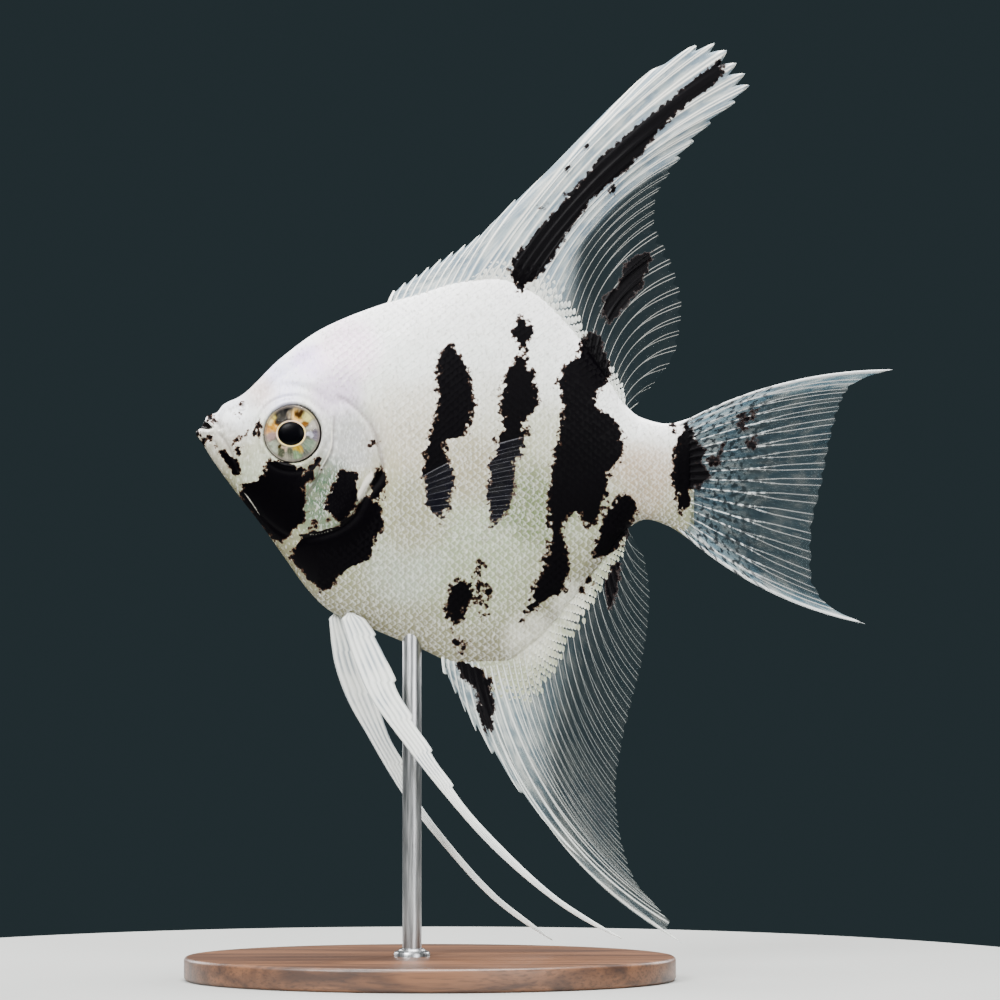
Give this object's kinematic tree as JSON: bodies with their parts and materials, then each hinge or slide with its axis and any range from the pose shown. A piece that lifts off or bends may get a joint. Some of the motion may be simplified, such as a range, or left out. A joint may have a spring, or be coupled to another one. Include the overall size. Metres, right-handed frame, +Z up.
{
  "type": "freshwater angelfish museum model",
  "caption": "Life-size marbled freshwater angelfish, tall and flat with long swept fins and pelvic feelers, held on a rod above a low oval base.",
  "frame": {"origin": "centre of the underside of the oval base, where it rests on the floor", "axes": "+Z up, the fish faces -X, its left side faces -Y, and y = 0 is its midline"},
  "size_m": [0.1182, 0.056, 0.1564],
  "materials": {
    "skin": "wet satin, silvery white with black marbling",
    "eye": "polished",
    "fin": "satin, clear membrane between white rays",
    "stand_wood": "satin oiled",
    "stand_steel": "satin"
  },
  "bodies": {
    "root": {"head": "skin", "lower_jaw": "skin", "gill_cover_left": "skin", "gill_cover_right": "skin", "trunk": "skin", "tail_stalk": "skin", "eye_left": "eye", "eye_right": "eye", "dorsal_fin": "fin", "anal_fin": "fin", "tail_fin": "fin", "pelvic_fin_left": "fin", "pelvic_fin_right": "fin", "pectoral_fin_left": "fin", "pectoral_fin_right": "fin", "stand_base": "stand_wood", "stand_rod": "stand_steel"}
  },
  "joints": []
}
